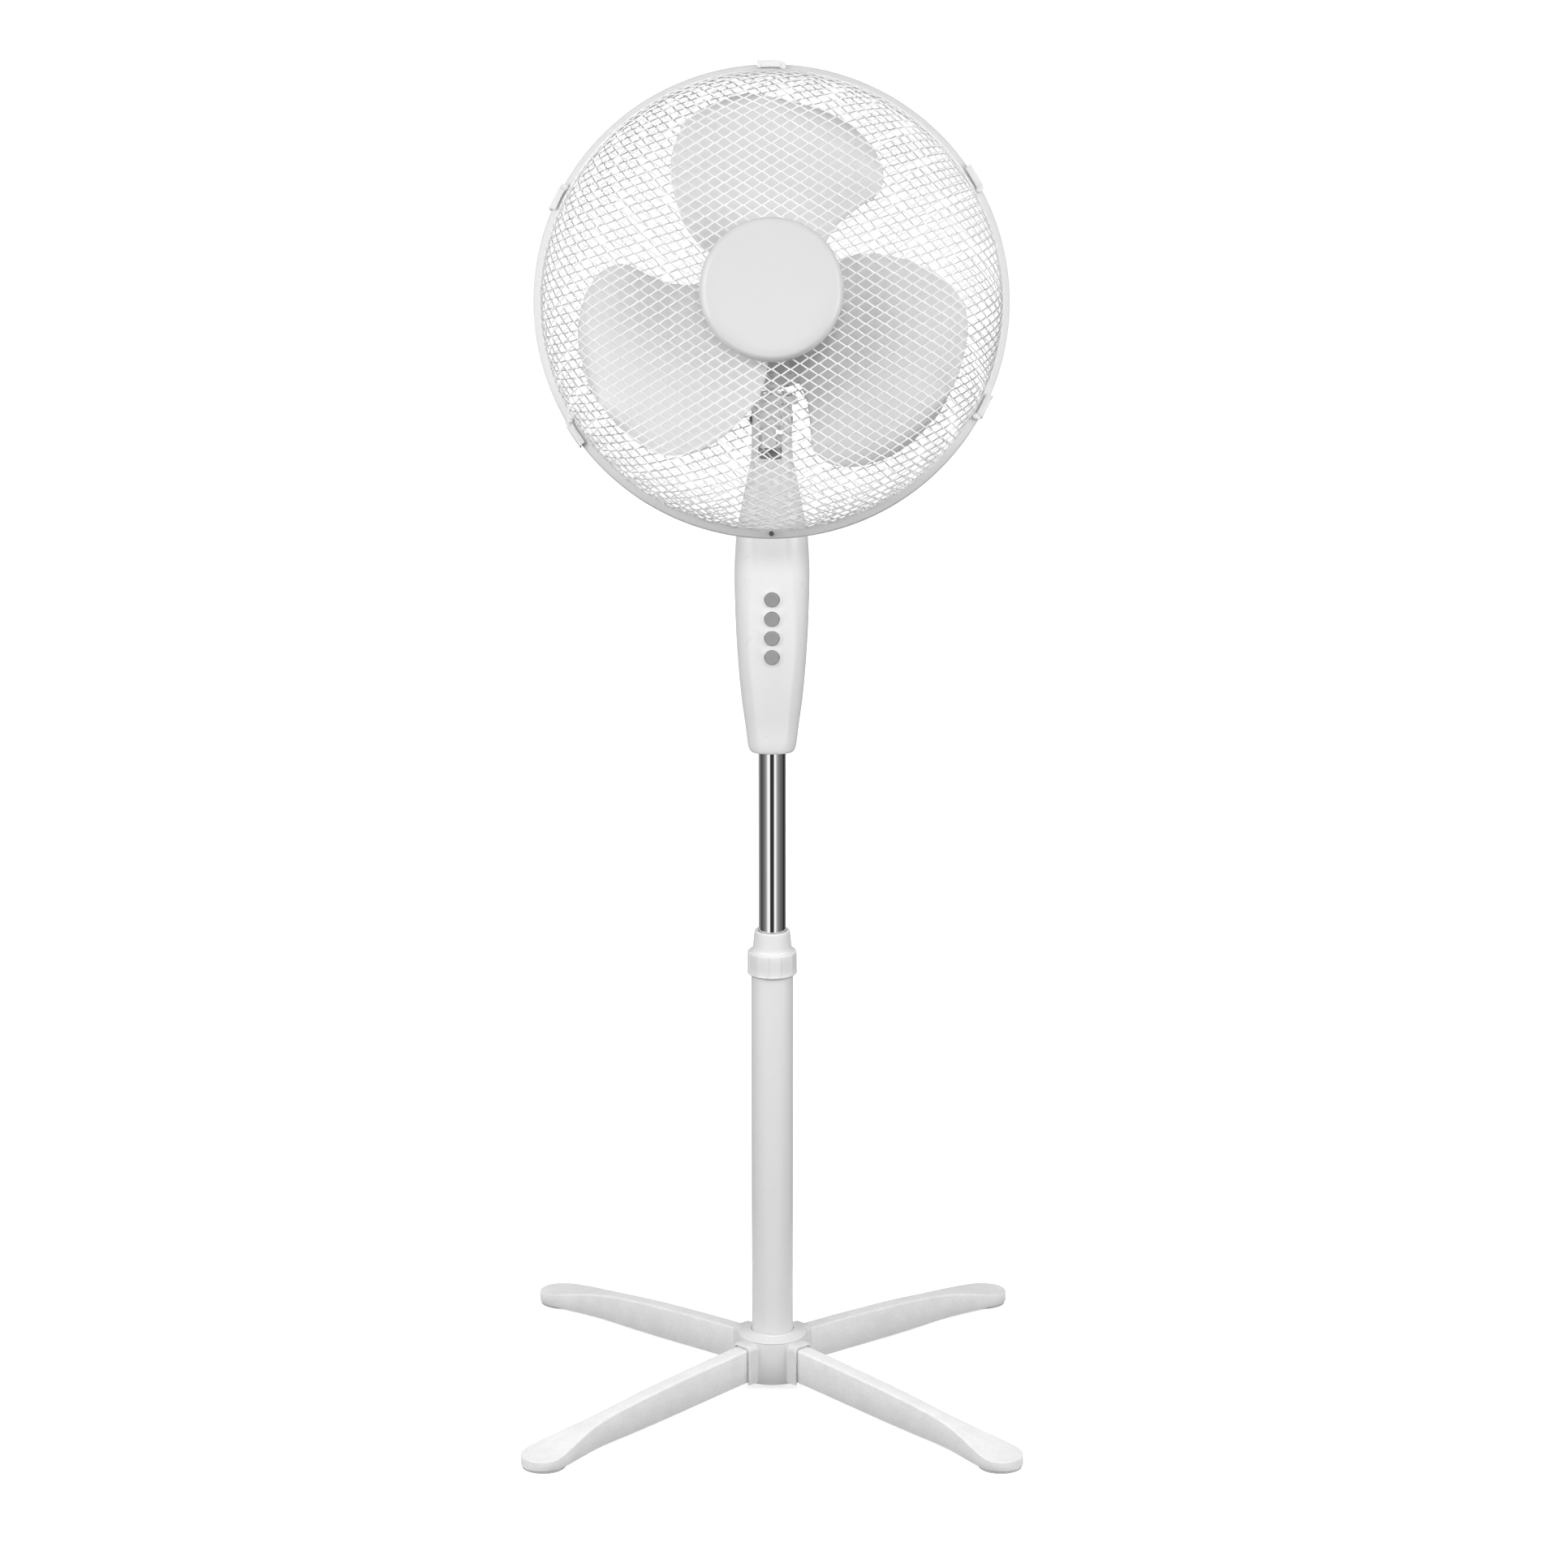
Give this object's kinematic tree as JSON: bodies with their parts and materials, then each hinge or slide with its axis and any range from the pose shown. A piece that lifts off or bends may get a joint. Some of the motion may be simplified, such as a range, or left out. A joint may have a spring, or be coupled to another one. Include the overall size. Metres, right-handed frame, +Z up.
{
  "type": "pedestal fan",
  "caption": "White pedestal fan with a round mesh guard head that tilts and oscillates, a telescopic column with push buttons and a cross base of separate legs.",
  "frame": {"origin": "on the floor at the axis of the column", "axes": "+Z up the column, -Y the way the fan blows, +X to the right seen from the front"},
  "size_m": [0.436, 0.436, 1.197],
  "materials": {
    "white_plastic": "semi-gloss moulded white plastic",
    "white_leg": "white plastic with a fine speckled grain",
    "cap_plastic": "gloss white moulded plastic",
    "pad_rubber": "soft pale rubber",
    "white_tube": "satin white powder coat on steel tube",
    "chrome_tube": "polished chrome plating",
    "button_grey": "matt grey plastic",
    "dark_plastic": "black plastic",
    "steel": "zinc plated steel",
    "laminated_steel": "stacked steel laminations",
    "copper_wire": "enamelled copper wire",
    "bronze": "sintered bronze",
    "zinc_case": "die cast zinc alloy",
    "gear_plastic": "natural moulded nylon",
    "guard_wire": "white painted expanded metal",
    "blade_plastic": "satin light grey plastic"
  },
  "bodies": {
    "stand": {"base_hub": "white_leg", "leg_front_left": "white_leg", "leg_front_right": "white_leg", "leg_rear_right": "white_leg", "leg_rear_left": "white_leg", "foot_pads": "pad_rubber", "base_bolt": "steel", "tube_plug": "dark_plastic", "pole_flange": "white_plastic", "lower_tube": "white_tube", "collet": "white_plastic"},
    "collar": {"collar_nut": "white_plastic"},
    "column": {"upper_tube": "chrome_tube", "guide_bush": "dark_plastic", "tube_sleeve": "white_plastic", "tube_screw": "steel", "box_rear_shell": "white_plastic", "box_front_shell": "white_plastic", "box_screws": "steel", "switch_block": "dark_plastic", "capacitor": "dark_plastic", "cord_inlet": "dark_plastic", "tilt_bolt": "steel", "tilt_nut": "dark_plastic"},
    "bracket": {"tilt_bracket": "white_plastic"},
    "head": {"motor_front_cover": "white_plastic", "motor_rear_cover": "white_plastic", "motor_screws": "steel", "stator_core": "laminated_steel", "windings": "copper_wire", "front_bearing": "bronze", "rear_bearing": "bronze", "gearbox_case": "zinc_case", "rear_guard": "guard_wire", "rear_guard_plate": "guard_wire", "guard_nut": "white_plastic", "rear_hoop": "white_plastic", "front_hoop": "white_plastic", "front_guard": "guard_wire", "hub_cap": "cap_plastic", "hoop_screw": "steel"},
    "rotor": {"rotor_core": "laminated_steel", "shaft": "steel", "worm": "steel", "impeller": "blade_plastic", "impeller_nut": "white_plastic"},
    "wheel": {"worm_wheel": "gear_plastic"},
    "output": {"output_gear": "gear_plastic", "crank": "steel"},
    "link": {"link_arm": "steel"},
    "knob": {"oscillation_knob": "white_plastic"},
    "button_1": {"button_1": "button_grey"},
    "button_2": {"button_2": "button_grey"},
    "button_3": {"button_3": "button_grey"},
    "button_4": {"button_4": "button_grey"},
    "clip_top": {"clip_top": "white_plastic"},
    "clip_upper_right": {"clip_upper_right": "white_plastic"},
    "clip_lower_right": {"clip_lower_right": "white_plastic"},
    "clip_lower_left": {"clip_lower_left": "white_plastic"},
    "clip_upper_left": {"clip_upper_left": "white_plastic"}
  },
  "joints": [
    {"name": "height_slide", "type": "slide", "parent": "stand", "child": "column", "axis": [0, 0, 1], "range_m": [-0.15, 0.05]},
    {"name": "collar_turn", "type": "hinge", "parent": "stand", "child": "collar", "pos_m": [0, 0, 0.397], "axis": [0, 0, 1], "range_deg": [0, 180]},
    {"name": "button_1_press", "type": "slide", "parent": "column", "child": "button_1", "axis": [0, 1, 0], "range_m": [0, 0.003], "stiffness_N_per_m": 600},
    {"name": "button_2_press", "type": "slide", "parent": "column", "child": "button_2", "axis": [0, 1, 0], "range_m": [0, 0.003], "stiffness_N_per_m": 600},
    {"name": "button_3_press", "type": "slide", "parent": "column", "child": "button_3", "axis": [0, 1, 0], "range_m": [0, 0.003], "stiffness_N_per_m": 600},
    {"name": "button_4_press", "type": "slide", "parent": "column", "child": "button_4", "axis": [0, 1, 0], "range_m": [0, 0.003], "stiffness_N_per_m": 600},
    {"name": "head_tilt", "type": "hinge", "parent": "column", "child": "bracket", "pos_m": [0, 0, 0.885], "axis": [1, 0, 0], "range_deg": [-4, 28]},
    {"name": "oscillation", "type": "hinge", "parent": "bracket", "child": "head", "pos_m": [0, 0.02676, 0.96736], "axis": [0, 0.309, 0.9511], "range_deg": [-40, 40]},
    {"name": "fan_spin", "type": "hinge", "parent": "head", "child": "rotor", "pos_m": [0, 0.02676, 0.96736], "axis": [0, -0.9511, 0.309], "continuous": true},
    {"name": "worm_wheel_spin", "type": "hinge", "parent": "head", "child": "wheel", "pos_m": [0.016, 0.0591, 0.95686], "axis": [0, 0.309, 0.9511], "continuous": true},
    {"name": "crank_spin", "type": "hinge", "parent": "head", "child": "output", "pos_m": [0, 0.07051, 0.95315], "axis": [0, 0.309, 0.9511], "continuous": true},
    {"name": "link_swing", "type": "hinge", "parent": "bracket", "child": "link", "pos_m": [0.016, 0.00637, 0.90459], "axis": [0, 0.309, 0.9511], "range_deg": [-40, 40]},
    {"name": "knob_pull", "type": "slide", "parent": "head", "child": "knob", "axis": [0, 0.309, 0.9511], "range_m": [0, 0.008]},
    {"name": "clip_top_open", "type": "hinge", "parent": "head", "child": "clip_top", "pos_m": [0.00997, -0.02638, 1.1915], "axis": [0, 0.9511, -0.309], "range_deg": [0, 75]},
    {"name": "clip_upper_right_open", "type": "hinge", "parent": "head", "child": "clip_upper_right", "pos_m": [0.17378, -0.0585, 1.09263], "axis": [0, 0.9511, -0.309], "range_deg": [0, 75]},
    {"name": "clip_lower_right_open", "type": "hinge", "parent": "head", "child": "clip_lower_right", "pos_m": [0.17078, -0.11752, 0.91099], "axis": [0, 0.9511, -0.309], "range_deg": [0, 75]},
    {"name": "clip_lower_left_open", "type": "hinge", "parent": "head", "child": "clip_lower_left", "pos_m": [-0.16869, -0.11862, 0.9076], "axis": [0, 0.9511, -0.309], "range_deg": [0, 75]},
    {"name": "clip_upper_left_open", "type": "hinge", "parent": "head", "child": "clip_upper_left", "pos_m": [-0.17247, -0.05776, 1.09493], "axis": [0, 0.9511, -0.309], "range_deg": [0, 75]}
  ],
  "couplings": [
    {"joint": "worm_wheel_spin", "follows": "fan_spin", "ratio": 0.027778},
    {"joint": "crank_spin", "follows": "fan_spin", "ratio": -0.0069444},
    {"joint": "link_swing", "follows": "oscillation", "ratio": 1}
  ]
}
